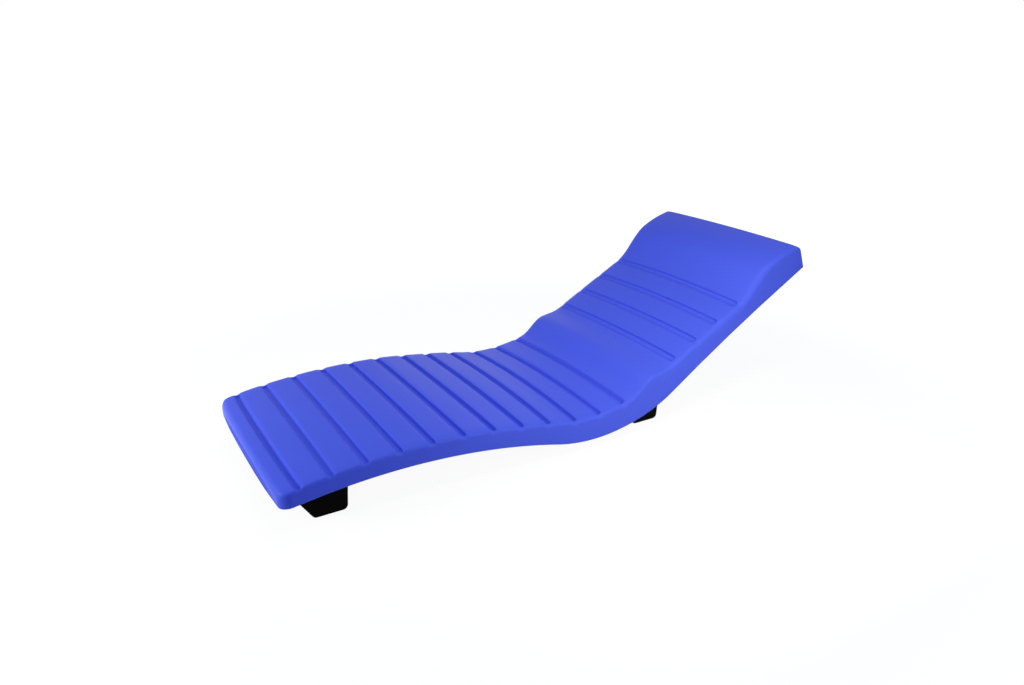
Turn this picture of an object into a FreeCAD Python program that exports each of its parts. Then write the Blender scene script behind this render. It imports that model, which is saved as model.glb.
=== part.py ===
# Spa relaxation lounger: a wave-shaped, integral-skin foam body moulded round a welded tube frame.
# Millimetres. X runs from the foot end to the head end, Y across the width, Z up.
# The origin lies on the floor, at the middle of the length and of the width.
import FreeCAD, Part
import math
import os
from FreeCAD import Vector

# Overall sizes
overall_length = 1850.0
overall_width = 670.0

# Underside, seen from the side: knee arch, seat dip, then a straight back
arch_radius = 1979.0
arch_crest_height = 114.5
arch_crest_from_foot_end = 341.0
arch_end_slope = math.radians(14.8)
seat_radius = 556.0
back_slope = math.radians(31.6)
head_end_lean = math.radians(21.0)

# Thickness of the body at its rim, square to the underside, and where it is measured
foot_thickness = 48.0
thigh_thickness = 66.5
seat_thickness = 84.0
back_thickness = 79.0
neck_thickness = 65.0
thigh_from_foot_end = 664.0
seat_from_foot_end = 1064.0
back_from_foot_end = 1364.0
neck_from_foot_end = 1690.0

# Smooth swells of the top: the lumbar roll and the headrest
lumbar_rise = 30.0
lumbar_from_foot_end = 1262.0
lumbar_lower_run = 138.0
lumbar_upper_run = 119.0
headrest_rise = 43.0
headrest_from_foot_end = 1856.0
headrest_lower_run = 172.0
headrest_upper_run = 200.0

# Crown of the top across the width
leg_crown = 4.0
back_crown = 17.0
head_crown = 9.0

# Rounded edges of the body
top_edge_radius = 25.0
foot_top_radius = 24.0
foot_low_radius = 17.0
foot_plan_radius = 33.0
head_top_radius = 17.0
head_plan_radius = 9.0

# Massage grooves across the top
groove_depth = 7.0
groove_floor = 10.0
groove_mouth = 17.0
groove_lip = 2.0
groove_lip_depth = 1.6
groove_pitch = 96.0
leg_groove_count = 12
first_groove_from_foot_end = 63.0
back_groove_count = 4
back_groove_from_foot_end = 1395.0
groove_side_margin = 17.0
groove_end_slope = 6.0

# Outer skin and the window in its underside
skin_thickness = 3.0
window_side_margin = 22.0
window_end_margin = 40.0

# Base panel
panel_thickness = 5.0
panel_recess = 1.0
panel_clearance = 0.5

# Welded frame of round tube
tube_diameter = 25.0
cross_tube_diameter = 22.0
tube_wall = 2.0
rail_spacing = 428.0
rail_end_margin = 46.0
cross_tube_from_foot_end = (130.0, 390.0, 640.0, 890.0, 1400.0, 1660.0)
weld_gap = 0.2
plug_flange = 2.0
plug_depth = 14.0
plug_clearance = 0.2

# Feet
foot_spacing = 1086.0
foot_heel_from_foot_end = 203.0
foot_base_length = 95.0
foot_width = 120.0
foot_toe_slant = math.radians(33.0)
foot_heel_draft = math.radians(4.0)
foot_corner_radius = 16.0
foot_side_radius = 7.0
foot_wall = 5.0
foot_top_wall = 9.0
foot_rib = 4.0
sole_proud = 2.0
sole_plug_depth = 9.0
sole_clearance = 0.3
sole_groove_width = 4.0
sole_groove_depth = 1.5
sole_groove_pitch = 12.0
sole_groove_count = 5

# Mounting plates and fasteners
plate_thickness = 4.0
plate_length = 84.0
plate_width = 104.0
bolt_diameter = 8.0
bolt_hole_clearance = 0.4
bolt_head_across = 13.0
bolt_head_height = 5.3
bolt_spacing = 64.0
washer_diameter = 20.0
washer_thickness = 1.6
nut_across = 13.0
nut_height = 6.5
screw_diameter = 5.0
screw_head_diameter = 11.0
screw_head_top_diameter = 7.0
screw_head_height = 2.6
screw_length = 16.0
screws_per_side = 6
screw_edge_margin = 14.0
insert_diameter = 9.0
insert_length = 11.0

# Cross sections of the body between its rounded ends, and the run over which they turn to the ends
section_count = 26
end_turn_run = 120.0

# One overrun serves every cut, and one small distance tells edges apart
overrun = 40.0
near = 0.2
halving_steps = 40

foot_end_x = -overall_length / 2
head_end_x = overall_length / 2
half_width = overall_width / 2
rail_y = rail_spacing / 2
tube_radius = tube_diameter / 2
cross_tube_radius = cross_tube_diameter / 2
foot_blank_height = overall_width / 2
panel_top = panel_recess + panel_thickness
plate_top = panel_top + plate_thickness
rail_height = plate_top + weld_gap + tube_radius

# The underside chain: the arch's centre lies below it, the seat's centre above it
crest_x = foot_end_x + arch_crest_from_foot_end
arch_centre = Vector(crest_x, 0, arch_crest_height - arch_radius)
arch_start = math.asin((foot_end_x - crest_x) / arch_radius)
arch_run = arch_radius * (arch_end_slope - arch_start)
seat_centre = arch_centre + Vector(math.sin(arch_end_slope), 0, math.cos(arch_end_slope)) * (
    arch_radius + seat_radius
)
seat_run = seat_radius * (arch_end_slope + back_slope)
seat_end = seat_centre + Vector(math.sin(back_slope), 0, -math.cos(back_slope)) * seat_radius
back_run = (head_end_x - seat_end.x) / math.cos(back_slope)
chain_length = arch_run + seat_run + back_run
parts = {}


def slope_at(station):
    """Angle of the underside above the horizontal, at a distance along it from the foot end."""
    if station <= arch_run:
        return -(arch_start + station / arch_radius)
    if station <= arch_run + seat_run:
        return (station - arch_run) / seat_radius - arch_end_slope
    return back_slope


def up_at(station):
    slope = slope_at(station)
    return Vector(-math.sin(slope), 0, math.cos(slope))


def along_at(station):
    slope = slope_at(station)
    return Vector(math.cos(slope), 0, math.sin(slope))


def point_at(station, height=0.0):
    """Point at a height square to the underside."""
    if station <= arch_run:
        return arch_centre + up_at(station) * (arch_radius + height)
    if station <= arch_run + seat_run:
        return seat_centre - up_at(station) * (seat_radius - height)
    return seat_end + along_at(station) * (station - arch_run - seat_run) + up_at(station) * height


def chain_edges(start, end, height):
    """The underside from one station to another, offset by a height, as arcs and a line."""
    stops = [start] + [s for s in (arch_run, arch_run + seat_run) if start < s < end] + [end]
    edges = []
    for a, b in zip(stops, stops[1:]):
        middle = (a + b) / 2
        if middle > arch_run + seat_run:
            edges.append(Part.LineSegment(point_at(a, height), point_at(b, height)).toShape())
        else:
            arc = Part.Arc(point_at(a, height), point_at(middle, height), point_at(b, height))
            edges.append(arc.toShape())
    return edges


def extrude_across(edges, low_y, high_y):
    wire = Part.Wire(Part.__sortEdges__(edges))
    wire.translate(Vector(0, low_y, 0))
    return Part.Face(wire).extrude(Vector(0, high_y - low_y, 0))


def slab(start, end, low, high, low_y, high_y):
    """A plate that follows the underside between two stations, two heights and two sides."""
    edges = chain_edges(start, end, low) + chain_edges(start, end, high)
    edges.append(Part.LineSegment(point_at(start, low), point_at(start, high)).toShape())
    edges.append(Part.LineSegment(point_at(end, low), point_at(end, high)).toShape())
    return extrude_across(edges, low_y, high_y)


def blend(places, values, station):
    """Straight runs between the values at the given places."""
    if station <= places[0]:
        return values[0]
    for a, b, low, high in zip(places, places[1:], values, values[1:]):
        if station <= b:
            return low + (high - low) * (station - a) / (b - a)
    return values[-1]


def swell(station, centre, lower_run, upper_run):
    """A smooth swell that is 1 at its centre and 0 at the end of each run."""
    run = lower_run if station < centre else upper_run
    share = min(abs(station - centre) / run, 1.0)
    return (1 + math.cos(math.pi * share)) / 2


def rim_thickness(station):
    places = (0, thigh_from_foot_end, seat_from_foot_end, back_from_foot_end, neck_from_foot_end)
    values = (foot_thickness, thigh_thickness, seat_thickness, back_thickness, neck_thickness)
    lumbar = swell(station, lumbar_from_foot_end, lumbar_lower_run, lumbar_upper_run)
    headrest = swell(station, headrest_from_foot_end, headrest_lower_run, headrest_upper_run)
    return blend(places, values, station) + lumbar_rise * lumbar + headrest_rise * headrest


def crown_at(station):
    places = (thigh_from_foot_end, lumbar_from_foot_end, neck_from_foot_end, chain_length)
    return blend(places, (leg_crown, back_crown, back_crown, head_crown), station)


def edge_drop(distance, radius):
    """How far a rounded edge has fallen, at a distance from the end that it rounds."""
    if distance >= radius:
        return 0.0
    inward = radius - max(distance, 0.0)
    return radius - math.sqrt(radius * radius - inward * inward)


def section_slope(station):
    """Near the two ends the cross sections turn to lie along the end faces."""
    from_foot = min(max(station / end_turn_run, 0.0), 1.0)
    from_head = min(max((chain_length - station) / end_turn_run, 0.0), 1.0)
    slope = slope_at(station) * from_foot
    return head_end_lean + (slope - head_end_lean) * from_head


def crown_arc(station, inset):
    """Sizes of the cross section: half width, height of the edge arcs' centre, crown radius, its centre."""
    from_foot = station - inset
    from_head = chain_length - inset - station
    width = half_width - inset
    width -= edge_drop(from_foot, foot_plan_radius - inset)
    width -= edge_drop(from_head, head_plan_radius - inset)
    top = rim_thickness(station) - inset
    top -= edge_drop(from_foot, foot_top_radius - inset)
    top -= edge_drop(from_head, head_top_radius - inset)
    edge = top_edge_radius - inset
    span = width - edge
    crown = crown_at(station)
    reach = (span * span + crown * crown) / (2 * crown)
    radius = reach + edge
    return width, top - edge, radius, top + crown - radius


def cross_section(station, inset):
    """Closed outline of the body at a station: sides, two edge arcs and a crowned top."""
    width, edge_centre, radius, centre = crown_arc(station, inset)
    edge = top_edge_radius - inset
    lean = math.asin((width - edge) / (radius - edge))
    slope = section_slope(station)
    origin = point_at(station)
    up = Vector(-math.sin(slope), 0, math.cos(slope))

    def place(y, height):
        return origin + up * height + Vector(0, y, 0)

    def edge_arc(side):
        points = []
        for turn in (math.pi / 2, (math.pi / 2 + lean) / 2, lean):
            y = width - edge + edge * math.sin(turn)
            points.append(place(side * y, edge_centre + edge * math.cos(turn)))
        return points

    right = edge_arc(1)
    left = edge_arc(-1)
    floor_right = place(width, -overrun)
    floor_left = place(-width, -overrun)
    edges = [
        Part.LineSegment(floor_left, floor_right),
        Part.LineSegment(floor_right, right[0]),
        Part.Arc(*right),
        Part.Arc(right[2], place(0, centre + radius), left[2]),
        Part.Arc(*reversed(left)),
        Part.LineSegment(left[0], floor_left),
    ]
    return Part.Wire([edge.toShape() for edge in edges])


def section_stations(inset):
    """Close together where an end is rounded, and at an even step between."""
    turns = [math.radians(a) for a in (0, 25, 45, 65, 90)]
    foot = [inset + (foot_plan_radius - inset) * (1 - math.cos(a)) for a in turns]
    head_start = chain_length - inset - (head_top_radius - inset)
    head = [head_start + (head_top_radius - inset) * math.sin(a) for a in turns]
    first = foot[-1]
    gap = (head_start - first) / section_count
    middle = [first + gap * i for i in range(1, section_count)]
    # One more close to each rounded end keeps the loft from swelling beyond it
    return foot + [first + gap / 4] + middle + [head_start - gap / 4] + head


def side_block(inset):
    """The body seen from the side, open upwards: true underside and end faces."""
    tall = overall_width
    low = inset
    lean = Vector(-math.sin(head_end_lean), 0, math.cos(head_end_lean))
    out = Vector(math.cos(head_end_lean), 0, math.sin(head_end_lean))
    corner = point_at(chain_length) - out * inset
    along = along_at(chain_length)
    # The head end face meets the offset underside where both distances agree
    rise = (point_at(chain_length, low) - corner).dot(out) / along.dot(out)
    end = chain_length - rise
    start = (inset + low * math.sin(slope_at(0))) / math.cos(slope_at(0))
    foot_bottom = point_at(start, low)
    head_bottom = point_at(end, low)
    foot_top = Vector(foot_bottom.x, 0, foot_bottom.z + tall)
    head_top = head_bottom + lean * tall
    edges = chain_edges(start, end, low)
    edges.append(Part.LineSegment(foot_bottom, foot_top).toShape())
    edges.append(Part.LineSegment(head_bottom, head_top).toShape())
    edges.append(Part.LineSegment(foot_top, head_top).toShape())
    block = extrude_across(edges, -overall_width, overall_width)
    corners = [e for e in block.Edges if (e.CenterOfMass - foot_bottom).Length < near]
    return block.makeFillet(foot_low_radius - inset, corners)


def groove_stations():
    """Grooves keep an even pitch along the top, which is longer than the underside on the arch."""
    stations = []
    station = first_groove_from_foot_end
    for _ in range(leg_groove_count):
        stations.append(station)
        height = rim_thickness(station)
        ahead = station + groove_pitch
        ratio = (point_at(ahead, height) - point_at(station, height)).Length / groove_pitch
        station += groove_pitch / ratio
    stations += [back_groove_from_foot_end + groove_pitch * i for i in range(back_groove_count)]
    return stations


def groove_cutter(station, inset):
    """A flat-floored channel that follows the crown and stops short of both sides."""
    radius, centre = crown_arc(station, inset)[2:]
    along = along_at(station)
    up = up_at(station)
    hub = point_at(station, centre)
    floor = (groove_floor / 2 + inset, radius - groove_depth)
    if inset > 0:
        # Beneath the skin a channel has plain sloping walls, without lips
        wall = groove_mouth / 2 - groove_floor / 2
        profile = [floor, (floor[0] + wall * overrun / groove_depth, floor[1] + overrun)]
    else:
        lip = (groove_mouth / 2 - groove_lip, radius - groove_lip_depth)
        rise = overrun * groove_lip_depth / groove_lip
        profile = [floor, lip, (groove_mouth / 2 + overrun, radius + rise)]
    right = [hub + along * x + up * r for x, r in profile]
    left = [hub - along * x + up * r for x, r in reversed(profile)]
    face = Part.Face(Part.makePolygon(right + left + right[:1]))
    reach = math.asin((half_width - groove_side_margin) / radius)
    face.rotate(hub, along, -math.degrees(reach))
    channel = face.revolve(hub, along, math.degrees(reach * 2))
    # Sloping end walls, as one flat-sided block seen from the foot end
    span = half_width - groove_side_margin + inset
    drop = radius - radius * math.cos(reach)
    base = point_at(station, centre + radius - drop - groove_depth)
    foot_of_wall = Vector(0, span - groove_end_slope, 0)
    spread = Vector(0, groove_end_slope * overrun / groove_depth, 0)
    outline = [
        base - foot_of_wall - spread * -1 - up * overrun,
        base + foot_of_wall - spread - up * overrun,
        base + foot_of_wall + spread + up * overrun,
        base - foot_of_wall - spread + up * overrun,
    ]
    block = Part.Face(Part.makePolygon(outline + outline[:1]))
    block.translate(along * -overrun)
    return channel.common(block.extrude(along * overrun * 2))


def body_form(inset):
    """The whole moulding, smaller by an inset on every side."""
    sections = [cross_section(s, inset) for s in section_stations(inset)]
    form = Part.makeLoft(sections, True, False)
    form = form.common(side_block(inset))
    return form.cut([groove_cutter(s, inset) for s in groove_stations()])


def biggest_solid(shape):
    return max(shape.Solids, key=lambda solid: solid.Volume)


def rail_path(start, end, height):
    return Part.Wire(chain_edges(start, end, height))


def round_bar(path, radius):
    """A round bar along a path that lies in a plane across Y."""
    start = path.OrderedVertexes[0].Point
    tangent = path.OrderedEdges[0].tangentAt(path.OrderedEdges[0].FirstParameter)
    ring = Part.Wire(Part.makeCircle(radius, start, tangent))
    return path.makePipeShell([ring], True, False)


def rail(side):
    path = rail_path(rail_end_margin, chain_length - rail_end_margin, rail_height)
    path.translate(Vector(0, side * rail_y, 0))
    bar = round_bar(path, tube_radius)
    return bar, bar.cut(round_bar(path, tube_radius - tube_wall))


def cross_tube(station, bars):
    """A tube between the rails, its ends coped to sit round them."""
    centre = point_at(station, rail_height)
    length = Vector(0, rail_spacing, 0)
    start = centre - length / 2
    outer = Part.makeCylinder(cross_tube_radius, rail_spacing, start, length)
    inner = Part.makeCylinder(cross_tube_radius - tube_wall, rail_spacing, start, length)
    return biggest_solid(outer.cut(bars).cut(inner))


def rail_plug(side, at_head):
    """A moulded plug in the open end of a rail."""
    station = chain_length - rail_end_margin if at_head else rail_end_margin
    out = along_at(station) * (1 if at_head else -1)
    centre = point_at(station, rail_height) + Vector(0, side * rail_y, 0)
    flange = Part.makeCylinder(tube_radius, plug_flange, centre, out)
    stem_radius = tube_radius - tube_wall - plug_clearance
    stem = Part.makeCylinder(stem_radius, plug_depth, centre - out * plug_depth, out)
    return flange.fuse(stem)


def foot_heel_x(rear):
    return foot_end_x + foot_heel_from_foot_end + (foot_spacing if rear else 0)


def foot_outline(rear, wall):
    """Side view of a foot: slanted toe, steep heel, rounded lower corners."""
    heel = Vector(foot_heel_x(rear) - wall, 0, 0)
    toe = Vector(foot_heel_x(rear) - foot_base_length + wall, 0, 0)
    tall = foot_blank_height
    heel_top = heel + Vector(tall * math.tan(foot_heel_draft), 0, tall)
    toe_top = toe + Vector(-tall * math.tan(foot_toe_slant), 0, tall)
    points = [toe, heel, heel_top, toe_top]
    return Part.Face(Part.makePolygon(points + points[:1]))


def foot_station(rear):
    """Station where the middle of a foot meets the underside."""
    middle = foot_heel_x(rear) - foot_base_length / 2
    low = 0.0
    high = chain_length
    for _ in range(halving_steps):
        station = (low + high) / 2
        if point_at(station).x < middle:
            low = station
        else:
            high = station
    return station


def under(height):
    """Everything below the offset underside."""
    edges = chain_edges(-overrun, chain_length + overrun, height)
    low_left = Vector(point_at(-overrun, height).x, 0, -overrun)
    low_right = Vector(point_at(chain_length + overrun, height).x, 0, -overrun)
    edges.append(Part.LineSegment(point_at(-overrun, height), low_left).toShape())
    edges.append(Part.LineSegment(low_left, low_right).toShape())
    edges.append(Part.LineSegment(low_right, point_at(chain_length + overrun, height)).toShape())
    return extrude_across(edges, -overall_width, overall_width)


def foot_prism(rear, side, wall):
    """A foot's outer form, or the same form smaller by a wall, before its top is cut to the underside."""
    width = foot_width - wall * 2
    face = foot_outline(rear, wall)
    face.translate(Vector(0, side * rail_y - width / 2, 0))
    prism = face.extrude(Vector(0, width, 0))
    floor = [e for e in prism.Edges if max(abs(v.Z) for v in e.Vertexes) < near]
    ends = [e for e in floor if abs(e.Vertexes[0].Y - e.Vertexes[1].Y) > width / 2]
    return prism.makeFillet(foot_corner_radius - wall, ends)


def round_foot_sides(prism, side):
    """Round the outline of both side faces, all but its top edge."""
    edges = []
    for edge in prism.Edges:
        ys = [v.Y - side * rail_y for v in edge.Vertexes]
        on_side = abs(abs(ys[0]) - foot_width / 2) < near and abs(ys[0] - ys[-1]) < near
        if on_side and edge.BoundBox.ZMin < foot_blank_height - near:
            edges.append(edge)
    return prism.makeFillet(foot_side_radius, edges)


def bolt_places(rear, side):
    """Axis point on the underside and axis direction of each foot bolt."""
    station = foot_station(rear)
    places = []
    for step in (-1, 1):
        point = point_at(station) + Vector(0, side * rail_y + step * bolt_spacing / 2, 0)
        places.append((point, up_at(station)))
    return places


def bolt_holes(rear, side, radius):
    holes = []
    for point, up in bolt_places(rear, side):
        holes.append(Part.makeCylinder(radius, overrun * 2, point - up * overrun, up))
    return Part.makeCompound(holes)


def floor_block(top):
    """Everything near the floor, up to a height."""
    corner = Vector(foot_end_x, -overall_width, -overrun)
    return Part.makeBox(overall_length, overall_width * 2, overrun + top, corner)


def foot(rear, side):
    """A hollow moulded foot, open below, with a thick top wall and a rib between its bolts."""
    shell = round_foot_sides(foot_prism(rear, side, 0.0), side)
    shell = shell.common(under(panel_recess))
    cavity = foot_prism(rear, side, foot_wall).common(under(panel_recess - foot_top_wall))
    mouth = cavity.common(floor_block(sole_plug_depth + sole_proud))
    rib = Part.makeBox(
        overall_length, foot_rib, overall_width,
        Vector(foot_end_x, side * rail_y - foot_rib / 2, -overrun),
    )
    shell = shell.cut([cavity.cut(rib).fuse(mouth), floor_block(sole_proud)])
    return shell.cut(bolt_holes(rear, side, bolt_diameter / 2 + bolt_hole_clearance))


def sole(rear, side):
    """A rubber sole: it plugs the foot's mouth and stands a little proud, with grip grooves."""
    plug = foot_prism(rear, side, foot_wall + sole_clearance)
    plug = plug.common(floor_block(sole_plug_depth + sole_proud - sole_clearance))
    middle = foot_heel_x(rear) - foot_base_length / 2
    first = middle - sole_groove_pitch * (sole_groove_count - 1) / 2
    grooves = []
    for i in range(sole_groove_count):
        x = first + sole_groove_pitch * i - sole_groove_width / 2
        start = Vector(x, side * rail_y - foot_width, -overrun)
        size = overrun + sole_groove_depth
        grooves.append(Part.makeBox(sole_groove_width, foot_width * 2, size, start))
    return plug.cut(grooves)


def foot_plate(rear, side):
    station = foot_station(rear)
    start = station - plate_length / 2
    low_y = side * rail_y - plate_width / 2
    plate = slab(start, start + plate_length, panel_top, plate_top, low_y, low_y + plate_width)
    return plate.cut(bolt_holes(rear, side, bolt_diameter / 2 + bolt_hole_clearance))


def hex_prism(across, height, base, axis):
    """Six-sided prism on an axis."""
    side = axis.cross(Vector(0, 1, 0))
    other = Vector(0, 1, 0)
    corner = across / math.sqrt(3)
    points = []
    for i in range(6):
        angle = math.pi / 3 * i
        points.append(base + side * corner * math.cos(angle) + other * corner * math.sin(angle))
    return Part.Face(Part.makePolygon(points + points[:1])).extrude(axis * height)


def foot_bolt(point, up):
    """Hex-head bolt from inside the foot up through panel, plate and weld nut."""
    seat = panel_recess - foot_top_wall - washer_thickness
    length = plate_top + nut_height + bolt_head_height - seat
    head = hex_prism(bolt_head_across, bolt_head_height, point + up * (seat - bolt_head_height), up)
    shank = Part.makeCylinder(bolt_diameter / 2, length, point + up * seat, up)
    return head.fuse(shank)


def foot_washer(point, up):
    base = point + up * (panel_recess - foot_top_wall - washer_thickness)
    disc = Part.makeCylinder(washer_diameter / 2, washer_thickness, base, up)
    hole = Part.makeCylinder(bolt_diameter / 2, washer_thickness, base, up)
    return disc.cut(hole)


def weld_nut(point, up):
    base = point + up * plate_top
    nut = hex_prism(nut_across, nut_height, base, up)
    return nut.cut(Part.makeCylinder(bolt_diameter / 2, nut_height, base, up))


def screw_places():
    """Panel screws stand along both long edges of the panel."""
    places = []
    first = window_end_margin + screw_edge_margin
    last = chain_length - window_end_margin - screw_edge_margin
    y = half_width - window_side_margin - screw_edge_margin
    for i in range(screws_per_side):
        station = first + (last - first) * i / (screws_per_side - 1)
        for side in (-1, 1):
            places.append((point_at(station) + Vector(0, side * y, 0), up_at(station)))
    return places


def panel_screw(point, up):
    """Low tapered head under the panel, shank into a moulded insert."""
    base = point + up * panel_recess
    shank = Part.makeCylinder(screw_diameter / 2, screw_length, base, up)
    rim = screw_head_diameter / 2
    crown = screw_head_top_diameter / 2
    return Part.makeCone(rim, crown, screw_head_height, base, up * -1).fuse(shank)


def screw_insert(point, up):
    base = point + up * (panel_top + weld_gap)
    body = Part.makeCylinder(insert_diameter / 2, insert_length, base, up)
    return body.cut(Part.makeCylinder(screw_diameter / 2, insert_length, base, up))


def foam_pockets():
    """Room that the foam leaves for the frame and for its plates, nuts and screw inserts."""
    pockets = []
    start = rail_end_margin - plug_flange
    for side in (-1, 1):
        path = rail_path(start, chain_length - start, rail_height)
        path.translate(Vector(0, side * rail_y, 0))
        pockets.append(round_bar(path, tube_radius))
    for station in cross_tube_from_foot_end:
        centre = point_at(station, rail_height)
        length = Vector(0, rail_spacing, 0)
        pocket = Part.makeCylinder(cross_tube_radius, rail_spacing, centre - length / 2, length)
        pockets.append(pocket)
    for rear in (False, True):
        start = foot_station(rear) - plate_length / 2
        high = plate_top + nut_height + bolt_head_height
        for side in (-1, 1):
            low_y = side * rail_y - plate_width / 2
            end = start + plate_length
            pockets.append(slab(start, end, 0, high, low_y, low_y + plate_width))
    for point, up in screw_places():
        length = panel_top + weld_gap + insert_length
        pockets.append(Part.makeCylinder(insert_diameter / 2, length, point, up))
    return pockets


# Panel, frame and fasteners
window = (
    window_end_margin, chain_length - window_end_margin,
    -half_width + window_side_margin, half_width - window_side_margin,
)
panel = slab(
    window[0] + panel_clearance, window[1] - panel_clearance, panel_recess, panel_top,
    window[2] + panel_clearance, window[3] - panel_clearance,
)
bars = []
rails = {}
for name, side in (("left", -1), ("right", 1)):
    bar, tube = rail(side)
    bars.append(bar)
    parts["side_rail_" + name] = tube
cross_names = ("ankle", "knee", "thigh", "seat", "back", "neck")
for name, station in zip(cross_names, cross_tube_from_foot_end):
    parts[name + "_cross_tube"] = cross_tube(station, bars)
plugs = [rail_plug(side, at_head) for side in (-1, 1) for at_head in (False, True)]
parts["rail_plugs"] = Part.makeCompound(plugs)
bolts = []
washers = []
nuts = []
for end, rear in (("front", False), ("rear", True)):
    for name, side in (("left", -1), ("right", 1)):
        parts[end + "_" + name + "_foot"] = foot(rear, side)
        parts[end + "_" + name + "_sole"] = sole(rear, side)
        parts[end + "_" + name + "_foot_plate"] = foot_plate(rear, side)
        panel = panel.cut(bolt_holes(rear, side, bolt_diameter / 2 + bolt_hole_clearance))
        for point, up in bolt_places(rear, side):
            bolts.append(foot_bolt(point, up))
            washers.append(foot_washer(point, up))
            nuts.append(weld_nut(point, up))
parts["foot_bolts"] = Part.makeCompound(bolts)
parts["foot_bolt_washers"] = Part.makeCompound(washers)
parts["foot_weld_nuts"] = Part.makeCompound(nuts)
screws = [panel_screw(point, up) for point, up in screw_places()]
inserts = [screw_insert(point, up) for point, up in screw_places()]
screw_hole_radius = screw_diameter / 2 + bolt_hole_clearance
screw_holes = [
    Part.makeCylinder(screw_hole_radius, overrun, point - up * overrun / 2, up)
    for point, up in screw_places()
]
parts["panel_screws"] = Part.makeCompound(screws)
parts["panel_inserts"] = Part.makeCompound(inserts)
parts["base_panel"] = panel.cut(Part.makeCompound(screw_holes))

# Outer skin and foam core: the core fills the skin and holds the frame
outer = body_form(0.0)
inner = body_form(skin_thickness)
window_cut = slab(window[0], window[1], -overrun, panel_top, window[2], window[3])
walls = Part.makeCompound([outer.Shells[0], inner.Shells[0].reversed()])
parts["outer_skin"] = Part.makeSolid(walls).cut([window_cut])
parts["foam_core"] = biggest_solid(inner.cut([window_cut]).cut(foam_pockets()))

os.makedirs("parts", exist_ok=True)
for name, shape in sorted(parts.items()):
    shape.exportStep("parts/" + name + ".step")
    print(name, len(shape.Solids), round(shape.Volume / 1000, 1), shape.isValid())
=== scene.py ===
# %% [markdown]
# # A spa relaxation lounger
# A one-piece lounger for a spa room: a foam body in a smooth blue skin, waved to fit a resting
# person, on four black feet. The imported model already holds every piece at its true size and
# place, so this script gives each one its finish. Only the body is made anew, as one fine mesh,
# because a soft moulding is all curvature: long swells, rolled edges and sixteen massage channels.
# %% Load the fixed frame
import math

import bpy
import numpy as np
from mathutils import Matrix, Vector


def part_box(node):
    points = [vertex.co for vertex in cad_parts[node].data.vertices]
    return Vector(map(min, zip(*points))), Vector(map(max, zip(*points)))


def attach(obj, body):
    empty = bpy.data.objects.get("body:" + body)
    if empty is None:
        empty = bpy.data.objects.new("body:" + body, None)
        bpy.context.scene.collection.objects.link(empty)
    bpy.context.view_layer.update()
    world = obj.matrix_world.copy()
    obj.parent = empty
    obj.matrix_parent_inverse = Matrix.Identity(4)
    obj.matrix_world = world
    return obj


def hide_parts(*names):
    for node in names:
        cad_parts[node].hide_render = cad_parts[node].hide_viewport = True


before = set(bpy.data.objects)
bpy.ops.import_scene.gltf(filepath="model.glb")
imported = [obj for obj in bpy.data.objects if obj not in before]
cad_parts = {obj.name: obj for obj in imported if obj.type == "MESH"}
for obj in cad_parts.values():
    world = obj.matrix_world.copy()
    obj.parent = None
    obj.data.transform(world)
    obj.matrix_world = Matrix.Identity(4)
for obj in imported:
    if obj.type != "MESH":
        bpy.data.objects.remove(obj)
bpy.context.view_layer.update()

MM = 0.001

# %% [markdown]
# ## The line that everything follows
# The underside is the lounger's backbone: a long knee arch, a tight seat curve and a straight
# back. A spline through guessed points could draw it, but it would wander by millimetres. Two
# arcs and a line give it exactly and keep the lower rim as clean as the real one. From here on a
# place on the body is a distance s along this line, and a height is measured square to it.
# %% Sizes of the arch, the seat curve and the back
skin_low, skin_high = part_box("outer_skin")
foot_x, head_x = skin_low[0], skin_high[0]
half_width = 335 * MM
arch_radius = 1979 * MM
arch_crest_height = 114.5 * MM
crest_x = foot_x + 341 * MM
arch_end_slope = math.radians(14.8)
seat_radius = 556 * MM
back_slope = math.radians(31.6)
print("foot end at", round(foot_x, 4), "head end at", round(head_x, 4))

# %% Where the two arcs have their centres, and how long each stretch is
arch_start = math.asin((foot_x - crest_x) / arch_radius)
arch_run = arch_radius * (arch_end_slope - arch_start)
seat_run = seat_radius * (arch_end_slope + back_slope)
arch_z = arch_crest_height - arch_radius
seat_x = crest_x + (arch_radius + seat_radius) * math.sin(arch_end_slope)
seat_z = arch_z + (arch_radius + seat_radius) * math.cos(arch_end_slope)
seat_end_x = seat_x + seat_radius * math.sin(back_slope)
seat_end_z = seat_z - seat_radius * math.cos(back_slope)
back_run = (head_x - seat_end_x) / math.cos(back_slope)
chain_length = arch_run + seat_run + back_run
print("underside length", round(chain_length, 4))


# %% Points of the backbone
def backbone(s):
    """x, z and slope of the underside at distances s along it."""
    s = np.asarray(s, float)
    turn = arch_start + s / arch_radius
    bend = (s - arch_run) / seat_radius - arch_end_slope
    far = s - arch_run - seat_run
    zones = [s <= arch_run, s <= arch_run + seat_run]
    x = np.select(
        zones,
        [crest_x + arch_radius * np.sin(turn), seat_x + seat_radius * np.sin(bend)],
        seat_end_x + far * math.cos(back_slope),
    )
    z = np.select(
        zones,
        [arch_z + arch_radius * np.cos(turn), seat_z - seat_radius * np.cos(bend)],
        seat_end_z + far * math.sin(back_slope),
    )
    return x, z, np.select(zones, [-turn, bend], back_slope)


print("the seat's lowest point is", round(seat_z - seat_radius, 4), "above the floor")

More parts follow.
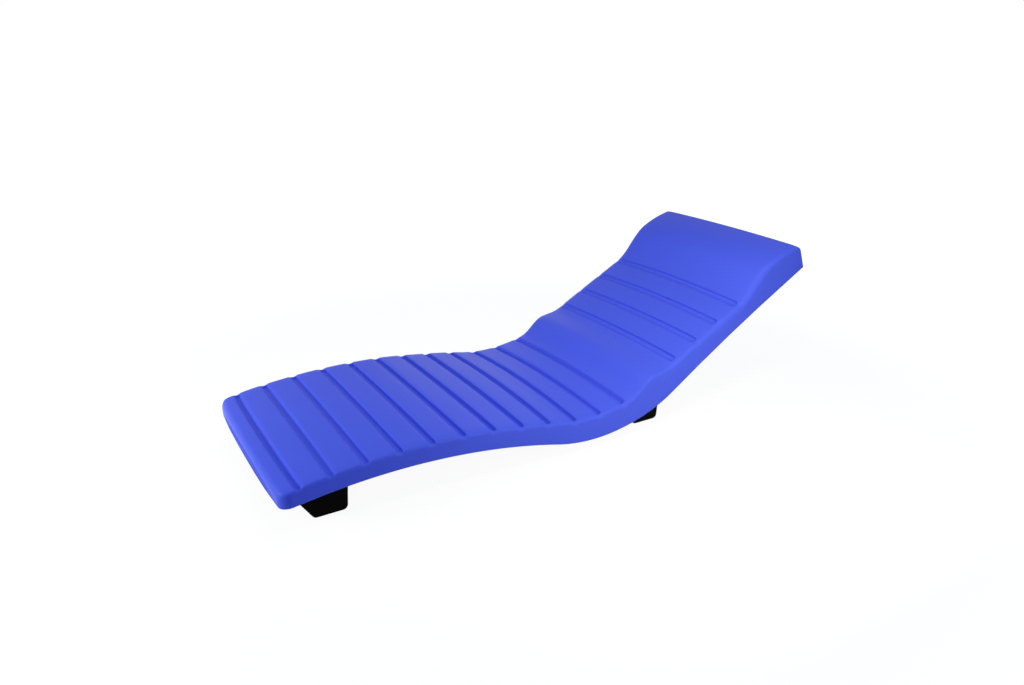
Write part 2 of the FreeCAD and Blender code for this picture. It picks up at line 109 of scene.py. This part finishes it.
# %% [markdown]
# ## Thickness and swells
# The body grows slowly thicker from the heels to the seat, and thins again towards the neck. The
# lumbar roll and the headrest are swells on top of that. They could be sculpted by hand, but one
# wave of a cosine starts and ends without a crease, and its height and run are plain numbers.
# %% Thickness along the body
thickness_at = np.array([0, 150, 430, 580, 664, 840, 1064, 1364, 1584, 1690]) * MM
thickness = np.array([46.5, 49, 56.5, 62.5, 62, 72, 82.5, 82.5, 72.5, 66.5]) * MM
smoothing = np.array([-60, -40, -20, 0, 20, 40, 60]) * MM
lumbar_rise, lumbar_at = 25 * MM, 1270 * MM
lumbar_runs = (120 * MM, 99 * MM)
headrest_rise, headrest_at = 43 * MM, 1846 * MM
headrest_runs = (171 * MM, 215 * MM)


def swell(s, centre, runs):
    """1 at the centre of a swell, and 0 at the end of its run on either side."""
    run = np.where(s < centre, runs[0], runs[1])
    share = np.minimum(np.abs(s - centre) / run, 1)
    return (1 + np.cos(np.pi * share)) / 2


def rim_thickness(s):
    """The listed thickness, averaged over nearby places, and the swells on top of it."""
    lumbar = lumbar_rise * swell(s, lumbar_at, lumbar_runs)
    headrest = headrest_rise * swell(s, headrest_at, headrest_runs)
    nearby = np.add.outer(np.asarray(s, float), smoothing)
    return np.interp(nearby, thickness_at, thickness).mean(-1) + lumbar + headrest


print("thickness at the lumbar roll", round(float(rim_thickness(lumbar_at)), 4))
print("thickness at the headrest", round(float(rim_thickness(headrest_at)), 4))

# %% [markdown]
# ## Rolled ends and edges
# A mould has no sharp corners: the foot end is rounded in plan and bowed a little, the head end is
# squarer, and the long top edge grows from a tight roll at the legs to a full one at the headrest.
# A Bevel modifier gives one radius for a whole edge. Here the radius has to change along the body,
# so each cross section works out its own.
# %% Radii of the ends and edges
foot_top_radius, foot_low_radius, foot_plan_radius = 16 * MM, 6 * MM, 34 * MM
foot_bow, foot_bow_reach, foot_bow_power = 10 * MM, 150 * MM, 3
head_top_radius, head_plan_radius = 15 * MM, 3 * MM
head_end_lean = math.radians(21.0)
edge_at = np.array([0, 1300, 1450, 1600, 1800, 1973]) * MM
edge_radius = np.array([9, 9, 11, 16, 20, 8]) * MM
shoulder, shoulder_reach = 2.5 * MM, 40 * MM
rim_radius, foot_rim_radius, foot_rim_reach = 1.5 * MM, 4 * MM, 90 * MM
rim_limit, edge_limit = 0.45, 0.4


def smooth_step(t):
    """An even rise from 0 to 1 that is level at both ends."""
    t = np.clip(t, 0, 1)
    return t * t * (3 - 2 * t)


def rounded_drop(distance, radius):
    """How far a rolled edge has fallen, at a distance from the end that it closes."""
    inward = np.clip(radius - distance, 0, radius)
    return radius - np.sqrt(radius * radius - inward * inward)


print("top edge radius from", edge_radius.min(), "to", edge_radius.max())

# %% [markdown]
# ## Crown, lower edge and the window beneath
# Across its width the top is crowned like a loaf, so that it looks full and sheds water. The lower
# edge follows the backbone along the legs and leaves it by a few millimetres on the back. Crown and
# lower edge change along the body, so they are short tables of places and heights that each cross
# section reads between. Underneath, a shallow recess takes the base panel.
# %% Crown, lower edge and window
crown_at = np.array([600, 716, 809, 920, 1690, 1973]) * MM
crown = np.array([4.5, 8, 12, 17, 17, 6]) * MM
rise_at = np.array([1100, 1300, 1450, 1600, 1750, 1850, 1973]) * MM
rise = np.array([0, -3.5, 2, 4.5, 3, 0, -4]) * MM
window_margin, window_end = 22 * MM, 40 * MM
window_lift = 3.5 * MM
seam = 0.2 * MM
print("crown from", crown.min(), "to", crown.max())

# %% [markdown]
# ## Massage channels
# Twelve channels cross the legs and the seat, and four cross the back. Each is a flat-floored
# trough with rounded ends that stops short of both sides. An array of equal cuts would be quick,
# but on the real one the spacing drifts, the floors are wide at the feet and on the back and
# narrow between, and the slats sink softly towards every channel. So each channel has its own
# place, and depth, floor, end margin and the dip of the slats are tables along the body.
# %% Channel places and sizes
channels = np.array([59, 154, 248.5, 343, 436.5, 529, 623, 714, 805, 908, 1017, 1126]) * MM
channels = np.append(channels, np.array([1385, 1483, 1580.5, 1679]) * MM)
channel_mouth_half = 12.5 * MM
channel_end_radius = 9 * MM
channel_at = np.array([150, 450, 700, 1126, 1385]) * MM
channel_depth = np.array([6, 8, 8.5, 9, 7.5]) * MM
channel_floor_half = np.array([8, 6, 5.5, 5.5, 8.5]) * MM
channel_end_margin = np.array([5, 5, 6, 11, 19]) * MM
lip_dip = np.array([4, 4.5, 4.5, 3, 1.5]) * MM
lip_reach = 19 * MM
print("channels", len(channels), "from", round(channels[0], 3), "to", round(channels[-1], 3))


# %% How much longer the top is than the underside
def top_ratio(s):
    """Length along the top for each unit of length along the underside."""
    step = 1 * MM
    (x0, z0, a0), (x1, z1, a1) = backbone(s - step), backbone(s + step)
    h = rim_thickness(s)
    dx = (x1 - h * np.sin(a1)) - (x0 - h * np.sin(a0))
    dz = (z1 + h * np.cos(a1)) - (z0 + h * np.cos(a0))
    return np.hypot(dx, dz) / (2 * step)


print("top ratio on the arch", round(float(top_ratio(channels[2])), 3))
print("top ratio in the seat", round(float(top_ratio(channels[10])), 3))


# %% How deep the top is pressed in
def channel_relief(s, y, top_share):
    """Depth below the plain top at points y across it, where top_share is 1, and 0 on the side."""
    ratio = top_ratio(s)
    depth = np.interp(s, channel_at, channel_depth)
    wall = channel_mouth_half - np.interp(s, channel_at, channel_floor_half)
    margin = np.interp(s, channel_at, channel_end_margin)
    past_end = np.abs(y) - (half_width - margin - channel_end_radius)
    relief = 0
    dip = 0
    for c in channels:
        # The mouth is a long rounded rectangle; the wall falls with the distance inside its edge
        away = np.abs(s - c) * ratio
        past_side = away - (channel_mouth_half - channel_end_radius)
        corner = np.hypot(np.maximum(past_side, 0), np.maximum(past_end, 0))
        inside = channel_end_radius - corner - np.minimum(np.maximum(past_side, past_end), 0)
        fallen = np.clip(inside / wall, 0, 1)
        relief = relief + fallen * (2 - fallen)
        dip = dip + smooth_step(1 - away / lip_reach)
    return relief * depth + dip * np.interp(s, channel_at, lip_dip) * np.sqrt(top_share)


def middle_relief(s):
    """The same on the middle line of the top."""
    return float(channel_relief(s, np.array([0.0]), np.array([1.0]))[0])


print("depth in the middle of the first channel", round(middle_relief(channels[0]), 4))

# %% [markdown]
# ## Meshing the moulding
# The body is swept as rings. Every ring is one cross section, with the same number of points in
# the same order, so quads run cleanly along and across. Rings crowd together where the surface
# turns fast, at the rolled ends and at both lips of each channel, and spread out between. A voxel
# remesh or a subdivided block would blur the lips, so the points are placed directly.
# %% Where the rings stand
end_ring_count = 12
ring_step = 8 * MM
channel_clearing = 25 * MM
lip_offsets = np.array([0, 3, 5.5, 6.5, 7.5, 8.5, 9.5, 10.4, 11.2, 11.9, 12.4, 12.9, 14, 16, 19]) * MM


def ring_stations():
    """The rounded ends, an even step between them, and both lips of each channel."""
    quarter = np.radians(np.linspace(0, 90, end_ring_count))
    foot = foot_plan_radius * (1 - np.cos(quarter))
    head = chain_length - head_top_radius * (1 - np.cos(quarter))
    near = [c + side * lip_offsets / float(top_ratio(c)) for c in channels for side in (-1, 1)]
    even = np.arange(foot_plan_radius, chain_length - head_top_radius, ring_step)
    for c in channels:
        even = even[np.abs(even - c) > channel_clearing]
    window = [window_end - seam, window_end + seam]
    window += [chain_length - window_end - seam, chain_length - window_end + seam]
    return np.unique(np.concatenate([foot, head, even, window] + near).round(6))


stations = ring_stations()
print("rings", len(stations))

# %% [markdown]
# ## The lean and the sizes of a ring
# In the middle of the body every ring stands square to the backbone. Near the ends that would leave
# a wedge missing, because the end faces lean another way. Cutting the mesh there would leave ragged
# faces, so the rings turn, little by little, until the first and the last lie in the end faces.
# %% Which way each ring leans, and its sizes
end_turn_run = 120 * MM


def section_slope(s):
    """Near both ends the cross sections turn until they lie along the end faces."""
    slope = backbone(s)[2]
    slope = slope * np.clip(s / end_turn_run, 0, 1)
    tail = np.clip(1 - (chain_length - s) / end_turn_run, 0, 1)
    return slope + (head_end_lean - slope) * tail


def section_sizes(s):
    """Half width, unraised and real lower edge, upper edge, and the radii of the rim and the top edge."""
    from_head = chain_length - s
    w = half_width - rounded_drop(s, foot_plan_radius) - rounded_drop(from_head, head_plan_radius)
    plain_low = rounded_drop(s, foot_low_radius)
    low = plain_low + float(np.interp(s, rise_at, rise))
    top = rim_thickness(s) - rounded_drop(s, foot_top_radius) - rounded_drop(from_head, head_top_radius)
    rim = rim_radius + (foot_rim_radius - rim_radius) * smooth_step(1 - s / foot_rim_reach)
    rim = min(rim, rim_limit * (top - low))
    edge = min(float(np.interp(s, edge_at, edge_radius)), edge_limit * (top - low))
    return w, plain_low, low, top, rim, edge


print("lean on the back", round(math.degrees(float(section_slope(channels[-2]))), 1), "degrees")

# %% [markdown]
# ## One cross section
# Seen from the foot end, a cross section is a flat underside with a recess, a small rounded rim, a
# straight side, a rolled edge with a soft shoulder inside it, and half of the crowned top; the
# other half is its mirror image. One long function could hold all of it, but three short ones are
# easier to follow: each gives the points of one stretch, in order.
# %% Underside and side
underside_lines = [0.1, 0.2]
rim_angles = np.radians(np.linspace(0, 90, 5))[1:]
wall_lines = 8


def underside_points(s, w, plain_low, low, rim):
    """Left to right: a flange, the recess that the base panel closes, and a flange again."""
    inner = min(half_width - window_margin, w - rim - 2 * seam)
    half = underside_lines + [inner - seam, inner + seam, w - rim]
    flat = np.array([-y for y in reversed(half)] + [0] + half)
    inside = (np.abs(flat) < inner) & (window_end < s < chain_length - window_end)
    return np.stack([flat, np.where(inside, plain_low + window_lift, low)], 1)


def side_points(w, low, top, rim, edge):
    """Upwards: the small rounded rim, then the straight side."""
    curve = [w - rim + rim * np.sin(rim_angles), low + rim - rim * np.cos(rim_angles)]
    wall = np.linspace(low + rim, top - shoulder - edge, wall_lines)[1:]
    return np.concatenate([np.stack(curve, 1), np.stack([np.full(len(wall), w), wall], 1)])


sample = section_sizes(chain_length / 2)
print("points on the underside", len(underside_points(chain_length / 2, *sample[:3], sample[4])))
print("points on each side", len(side_points(sample[0], *sample[2:])))

# %% Top, close-set where the channels end
roll_angles = np.radians(np.arange(84, 0, -8))
shoulder_offsets = np.array([1, 3, 5, 7, 9, 12, 15, 19, 23, 27, 31, 36]) * MM
inner_margin = 42 * MM
inner_shares = np.linspace(1, 0.04, 24)


def top_points(s, w, top, edge):
    """From the rolled edge inwards, each point pressed in square to the surface."""
    roll = w - edge + edge * np.sin(roll_angles)
    inner = (w - edge - inner_margin) * inner_shares
    ys = np.concatenate([roll, w - edge - shoulder_offsets, inner])
    c = float(np.interp(s, crown_at, crown))
    over = np.clip((ys - (w - edge)) / edge, 0, 1)
    flat_share = np.sqrt(1 - over * over)
    bend = np.maximum(ys - (w - shoulder_reach), 0) / shoulder_reach
    heights = top + c * (1 - (ys / w) ** 2) - shoulder * bend ** 2 - edge * (1 - flat_share)
    slopes = 2 * c * ys / (w * w) + 2 * shoulder / shoulder_reach * bend + over / flat_share
    normals = np.stack([slopes, np.ones(len(ys))], 1) / np.hypot(slopes, 1)[:, None]
    relief = channel_relief(s, ys, flat_share)
    return np.stack([ys, heights], 1) - normals * relief[:, None]


print("points on half the top", len(roll_angles) + len(shoulder_offsets) + len(inner_shares))


# %% A whole ring
def stand_up(s, outline):
    """Stand a flat outline on the backbone, and bow it where it is near the foot end."""
    x, z, _ = backbone(s)
    slope = float(section_slope(s))
    sideways = np.abs(outline[:, 0]) / half_width
    bow = foot_bow * smooth_step(1 - s / foot_bow_reach) * sideways ** foot_bow_power
    return np.stack([
        x + bow - outline[:, 1] * math.sin(slope),
        outline[:, 0],
        z + outline[:, 1] * math.cos(slope),
    ], 1)


def ring(s):
    """Points of one cross section, from bottom left to bottom right and back over the top."""
    s = float(s)
    w, plain_low, low, top, rim, edge = section_sizes(s)
    bottom = underside_points(s, w, plain_low, low, rim)
    right = np.concatenate([side_points(w, low, top, rim, edge), top_points(s, w, top, edge)])
    peak = np.array([[0, top + float(np.interp(s, crown_at, crown)) - middle_relief(s)]])
    left = right[::-1] * np.array([-1, 1])
    return stand_up(s, np.concatenate([bottom, right, peak, left]))


rings = [ring(s) for s in stations]
ring_size = len(rings[0])
print("points in a ring", ring_size)

# %% [markdown]
# ## Joining the rings into the body
# The skin of the real body is one closed shell. Neighbouring rings are joined by a band of quads,
# and one face closes each end. Bridging edge loops in Edit Mode would give the same faces, but a
# plain list of them needs no selection and comes out the same every time. Smooth shading lets the
# quads read as one soft surface.
# %% Build the moulded body
def mesh_object(name, points, faces):
    """A new piece in the scene, from its points and the faces between them."""
    mesh = bpy.data.meshes.new(name)
    mesh.from_pydata([tuple(map(float, p)) for p in points], [], faces)
    mesh.validate()
    mesh.update()
    piece = bpy.data.objects.new(name, mesh)
    bpy.context.scene.collection.objects.link(piece)
    return piece


faces = []
for i in range(len(rings) - 1):
    a, b = i * ring_size, (i + 1) * ring_size
    for j in range(ring_size):
        k = (j + 1) % ring_size
        faces.append((a + j, a + k, b + k, b + j))
faces.append(tuple(reversed(range(ring_size))))
last = (len(rings) - 1) * ring_size
faces.append(tuple(range(last, last + ring_size)))
body = mesh_object("moulded_body", np.concatenate(rings), faces)
body.data.shade_smooth()
print("moulded body", len(rings), "rings of", ring_size, "points,", len(faces), "faces")

# %% [markdown]
# ## The grain that moulded surfaces share
# Every surface here carries something of its mould or mill: a fine grain, and slow cloudy shifts of
# shade and shine. Each material could have noise nodes of its own, but then one change means seven
# edits. A node group is built once, with named sockets, and each material sets its own scales. The
# group gives out values only; the shader stays in the material.
# %% Node helpers
FLOAT = "NodeSocketFloat"


def new_group(name, inputs, outputs):
    """A shader node group with named sockets, and its input and output nodes."""
    group = bpy.data.node_groups.new(name, "ShaderNodeTree")
    for socket, kind, default in inputs:
        made = group.interface.new_socket(name=socket, in_out="INPUT", socket_type=kind)
        made.default_value = default
    for socket, kind in outputs:
        group.interface.new_socket(name=socket, in_out="OUTPUT", socket_type=kind)
    return group, group.nodes.new("NodeGroupInput"), group.nodes.new("NodeGroupOutput")


def math_node(tree, operation, a, b):
    """One sum on two values, each of them a number or another node's socket."""
    node = tree.nodes.new("ShaderNodeMath")
    node.operation = operation
    for index, value in enumerate((a, b)):
        if hasattr(value, "links"):
            tree.links.new(value, node.inputs[index])
        else:
            node.inputs[index].default_value = value
    return node.outputs[0]


print("node helpers ready")

# %% Moulded grain group
grain, grain_in, grain_out = new_group(
    "moulded_grain",
    [("Grain Scale", FLOAT, 900.0), ("Mottle Scale", FLOAT, 6.0)],
    [("Grain", FLOAT), ("Mottle", FLOAT)],
)
coords = grain.nodes.new("ShaderNodeTexCoord").outputs["Object"]
for output, detail in (("Grain", 3), ("Mottle", 4)):
    noise = grain.nodes.new("ShaderNodeTexNoise")
    noise.inputs["Detail"].default_value = detail
    grain.links.new(coords, noise.inputs["Vector"])
    grain.links.new(grain_in.outputs[output + " Scale"], noise.inputs["Scale"])
    grain.links.new(noise.outputs["Fac"], grain_out.inputs[output])
print("group", grain.name, "with", len(grain.nodes), "nodes")


# %% A material, and the grain placed in it
def new_material(name, colour, roughness, metallic=0.0, specular=0.5):
    """A plain material, its node tree and its shader."""
    material = bpy.data.materials.new(name)
    material.use_nodes = True
    shader = material.node_tree.nodes["Principled BSDF"]
    shader.inputs["Base Color"].default_value = (*colour, 1)
    shader.inputs["Roughness"].default_value = roughness
    shader.inputs["Metallic"].default_value = metallic
    shader.inputs["Specular IOR Level"].default_value = specular
    return material, material.node_tree, shader


def add_grain(tree, shader, colour, roughness, tint, grain_scale, mottle_scale, bump_height, swing):
    """Grain as bump, and mottling that moves roughness by a swing and colour by a tint."""
    node = tree.nodes.new("ShaderNodeGroup")
    node.node_tree = grain
    node.inputs["Grain Scale"].default_value = grain_scale
    node.inputs["Mottle Scale"].default_value = mottle_scale
    bump = tree.nodes.new("ShaderNodeBump")
    bump.inputs["Strength"].default_value = 1.0
    bump.inputs["Distance"].default_value = bump_height
    tree.links.new(node.outputs["Grain"], bump.inputs["Height"])
    tree.links.new(bump.outputs["Normal"], shader.inputs["Normal"])
    moved = math_node(tree, "MULTIPLY", node.outputs["Mottle"], swing)
    tree.links.new(math_node(tree, "ADD", moved, roughness - swing / 2), shader.inputs["Roughness"])
    mix = tree.nodes.new("ShaderNodeMix")
    mix.data_type = "RGBA"
    mix.inputs["A"].default_value = (*[c * (1 - tint) for c in colour], 1)
    mix.inputs["B"].default_value = (*[min(c * (1 + tint), 1) for c in colour], 1)
    tree.links.new(node.outputs["Mottle"], mix.inputs["Factor"])
    tree.links.new(mix.outputs["Result"], shader.inputs["Base Color"])


def grained(name, colour, roughness, metallic=0.0, specular=0.5, **look):
    """A material with the shared grain in it."""
    material, tree, shader = new_material(name, colour, roughness, metallic, specular)
    add_grain(tree, shader, colour, roughness, **look)
    print("finish", name, "with", len(tree.nodes), "nodes")
    return material


# %% [markdown]
# ## Blue skin
# The skin is a deep, even blue with a satin sheen and no gloss: highlights on it are soft, and the
# shaded side keeps its colour. A clear coat over the colour would shine like wet vinyl, so this is
# a plain surface of middling roughness, with hardly any mirror reflection and a trace of grain.
# %% Blue skin on the body
skin = grained(
    "blue_skin", (0.076, 0.119, 0.81), 0.34, specular=0.04,
    tint=0.03, grain_scale=1400.0, mottle_scale=5.0, bump_height=0.00004, swing=0.06,
)
body.data.materials.append(skin)
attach(body, "root")
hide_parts("outer_skin", "foam_core")

# %% [markdown]
# ## Feet, soles and panel
# The feet are black moulded plastic that swallows nearly all light, on soles of dull rubber. The
# base panel is a dark sheet with a coarser grain. Pure black would lose their edges, so each has a
# trace of colour, and the panel and the soles are a little lighter than the feet.
# %% Plastic and rubber
foot_black = grained(
    "foot_black", (0.0016, 0.0013, 0.0012), 0.5, specular=0.02,
    tint=0.1, grain_scale=1500.0, mottle_scale=12.0, bump_height=0.00006, swing=0.1,
)
sole_rubber = grained(
    "sole_rubber", (0.006, 0.006, 0.006), 0.8, specular=0.1,
    tint=0.15, grain_scale=700.0, mottle_scale=9.0, bump_height=0.0001, swing=0.1,
)
panel_sheet = grained(
    "panel_sheet", (0.018, 0.018, 0.02), 0.55, specular=0.3,
    tint=0.12, grain_scale=500.0, mottle_scale=4.0, bump_height=0.00015, swing=0.12,
)

# %% [markdown]
# ## Steel and brass
# The frame inside the foam has a dark primer, so it is no bare metal and its Metallic stays 0. The
# bolts, nuts and screws are zinc-bright and the threaded inserts are turned brass: both are real
# metal, with Metallic at 1, and their colour is the colour of their reflections.
# %% Metals
frame_steel = grained(
    "frame_steel", (0.035, 0.035, 0.038), 0.45,
    tint=0.1, grain_scale=900.0, mottle_scale=8.0, bump_height=0.00005, swing=0.1,
)
fastener_steel = grained(
    "fastener_steel", (0.52, 0.52, 0.53), 0.3, metallic=1.0,
    tint=0.08, grain_scale=600.0, mottle_scale=20.0, bump_height=0.00002, swing=0.15,
)
insert_brass = grained(
    "insert_brass", (0.66, 0.44, 0.17), 0.35, metallic=1.0,
    tint=0.08, grain_scale=600.0, mottle_scale=20.0, bump_height=0.00002, swing=0.15,
)

# %% [markdown]
# ## Handing out the finishes
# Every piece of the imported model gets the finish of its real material. Going through them by hand
# would be slow and easy to get wrong, so a short table names the special ones, the feet and soles
# are known by the end of their names, and all that is left is the frame.
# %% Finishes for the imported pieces
finishes = {
    "foot_bolts": fastener_steel,
    "foot_bolt_washers": fastener_steel,
    "foot_weld_nuts": fastener_steel,
    "panel_screws": fastener_steel,
    "panel_inserts": insert_brass,
    "base_panel": panel_sheet,
    "rail_plugs": sole_rubber,
}
for name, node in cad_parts.items():
    if name in ("outer_skin", "foam_core"):
        continue
    if name in finishes:
        finish = finishes[name]
    elif name.endswith("_foot"):
        finish = foot_black
    elif name.endswith("_sole"):
        finish = sole_rubber
    else:
        finish = frame_steel
    node.data.materials.clear()
    node.data.materials.append(finish)
    print(name, "has", finish.name)

# %% [markdown]
# ## A floor that shows only a shadow
# The lounger stands on a white studio floor that runs into a white background. A floor lit to pure
# white would flood the blue with light from below. So the camera sees a glowing white, while all
# other rays meet a plain grey floor. Close to the object a small share of the grey shows through
# to the camera as well, and with it the soft shadow.
# %% Studio group: how much of the lit floor the camera sees, fading out round the object
catcher, catcher_in, catcher_out = new_group(
    "shadow_catcher",
    [("Reach", FLOAT, 2.6), ("Share", FLOAT, 0.16)],
    [("Lit Share", FLOAT)],
)
fade_start = 1.2
coords = catcher.nodes.new("ShaderNodeTexCoord").outputs["Object"]
length = catcher.nodes.new("ShaderNodeVectorMath")
length.operation = "LENGTH"
catcher.links.new(coords, length.inputs[0])
fade = catcher.nodes.new("ShaderNodeMapRange")
fade.interpolation_type = "SMOOTHSTEP"
fade.inputs["From Min"].default_value = fade_start
fade.inputs["To Max"].default_value = 0
catcher.links.new(length.outputs["Value"], fade.inputs["Value"])
catcher.links.new(catcher_in.outputs["Reach"], fade.inputs["From Max"])
catcher.links.new(catcher_in.outputs["Share"], fade.inputs["To Min"])
catcher.links.new(fade.outputs["Result"], catcher_out.inputs["Lit Share"])
print("group", catcher.name, "with", len(catcher.nodes), "nodes")


# %% What the camera sees
def seen_directly(tree):
    """1 where the camera sees a surface, straight or by way of a reflection or glass."""
    path = tree.nodes.new("ShaderNodeLightPath")
    direct = math_node(tree, "MAXIMUM", path.outputs["Is Camera Ray"], path.outputs["Is Glossy Ray"])
    return math_node(tree, "MAXIMUM", direct, path.outputs["Is Transmission Ray"])


def mix_shaders(tree, factor, first, second, output):
    """The first shader where the factor is 0, the second where it is 1, led to the output."""
    mixed = tree.nodes.new("ShaderNodeMixShader")
    tree.links.new(factor, mixed.inputs["Fac"])
    tree.links.new(first, mixed.inputs[1])
    tree.links.new(second, mixed.inputs[2])
    tree.links.new(mixed.outputs["Shader"], tree.nodes[output].inputs["Surface"])


print("shader helpers ready")

# %% Floor
floor_half = 12.0
floor_grey = (0.55, 0.55, 0.55)
floor_glow = 1.12
corners = [(x * floor_half, y * floor_half, 0) for x, y in ((-1, -1), (1, -1), (1, 1), (-1, 1))]
floor = mesh_object("studio_floor", corners, [(0, 1, 2, 3)])
floor_material, tree, shader = new_material("pale_floor", floor_grey, 0.9)
glow = tree.nodes.new("ShaderNodeEmission")
glow.inputs["Color"].default_value = (1, 1, 1, 1)
glow.inputs["Strength"].default_value = floor_glow
catch = tree.nodes.new("ShaderNodeGroup")
catch.node_tree = catcher
white_share = math_node(tree, "SUBTRACT", 1.0, catch.outputs["Lit Share"])
factor = math_node(tree, "MULTIPLY", seen_directly(tree), white_share)
mix_shaders(tree, factor, shader.outputs["BSDF"], glow.outputs["Emission"], "Material Output")
floor.data.materials.append(floor_material)
print("floor", 2 * floor_half, "metres square")

# %% [markdown]
# ## The room's light
# A studio's walls throw back a dim, even light from all round. Were it white, it would turn the
# shaded side grey, so it is a cool blue and weak, and that side stays a deep blue. As with the
# floor, the camera itself sees plain white behind the object.
# %% World
surround_colour, surround_strength = (0.2, 0.4, 1.0, 1), 0.37
world = bpy.data.worlds.new("studio")
bpy.context.scene.world = world
world.use_nodes = True
tree = world.node_tree
surround = tree.nodes["Background"]
surround.inputs["Color"].default_value = surround_colour
surround.inputs["Strength"].default_value = surround_strength
white = tree.nodes.new("ShaderNodeBackground")
white.inputs["Color"].default_value = (1, 1, 1, 1)
white.inputs["Strength"].default_value = 1.0
behind = (surround.outputs["Background"], white.outputs["Background"])
mix_shaders(tree, seen_directly(tree), *behind, "World Output")
print("world", world.name, "with", len(tree.nodes), "nodes")

# %% [markdown]
# ## Lamps
# The large soft lamps of a photo studio are area lamps here, since a point lamp or a sun would draw
# hard shadows into the channels. One hangs over the legs, one faces the foot end and models its
# channels, two light the near side and its upper edge, and a faint one lifts the far side.
# %% Softboxes
def softbox(name, place, target, size, power, colour):
    """A rectangular area lamp at a place, aimed at a target."""
    lamp = bpy.data.lights.new(name, "AREA")
    lamp.shape = "RECTANGLE"
    lamp.size, lamp.size_y = size
    lamp.energy = power
    lamp.color = colour
    holder = bpy.data.objects.new(name, lamp)
    bpy.context.scene.collection.objects.link(holder)
    holder.location = place
    aim = Vector(target) - Vector(place)
    holder.rotation_euler = aim.to_track_quat("-Z", "Y").to_euler()
    print(name, "gives", power, "watts")


warm = (1.0, 0.93, 0.70)
softbox("key_lamp", (-0.5, 0.25, 1.75), (-0.4, 0, 0.15), (1.0, 0.9), 7.2, warm)
softbox("foot_lamp", (-2.45, 0.4, 0.6), (-0.9, 0, 0.12), (0.8, 0.4), 29, warm)
softbox("side_lamp", (0.26, -1.15, 0.5), (0.26, -0.3, 0.2), (0.8, 0.5), 5.6, warm)
softbox("edge_lamp", (0.3, -0.85, 1.45), (0.3, -0.3, 0.2), (0.8, 0.1), 8, warm)
softbox("far_lamp", (0.9, 1.7, 0.7), (0, 0, 0.15), (1.2, 0.5), 1.5, warm)

# %% [markdown]
# ## Camera
# The photograph is a three-quarter view from beside the foot end. Turning the view by eye until it
# looks right leaves errors that hide in every other measure. So place, angles and focal length were
# solved together, until the outline of the body fell on the outline in the photograph.
# %% Camera
photo_width, focal_pixels = 1024, 811.9
sensor_width = 36
camera_place = (-1.3111, -2.1369, 1.2317)
degrees_down, degrees_aside = 21.315, 30.745
view_distance = 60
camera_data = bpy.data.cameras.new("photo_camera")
camera = bpy.data.objects.new("photo_camera", camera_data)
bpy.context.scene.collection.objects.link(camera)
camera_data.sensor_width = sensor_width
camera_data.lens = sensor_width * focal_pixels / photo_width
camera_data.clip_end = view_distance
camera.location = camera_place
camera.rotation_euler = (math.radians(90 - degrees_down), 0, math.radians(-degrees_aside))
bpy.context.scene.camera = camera
bpy.context.scene.view_settings.view_transform = "Standard"
print("focal length", round(camera_data.lens, 2), "mm")
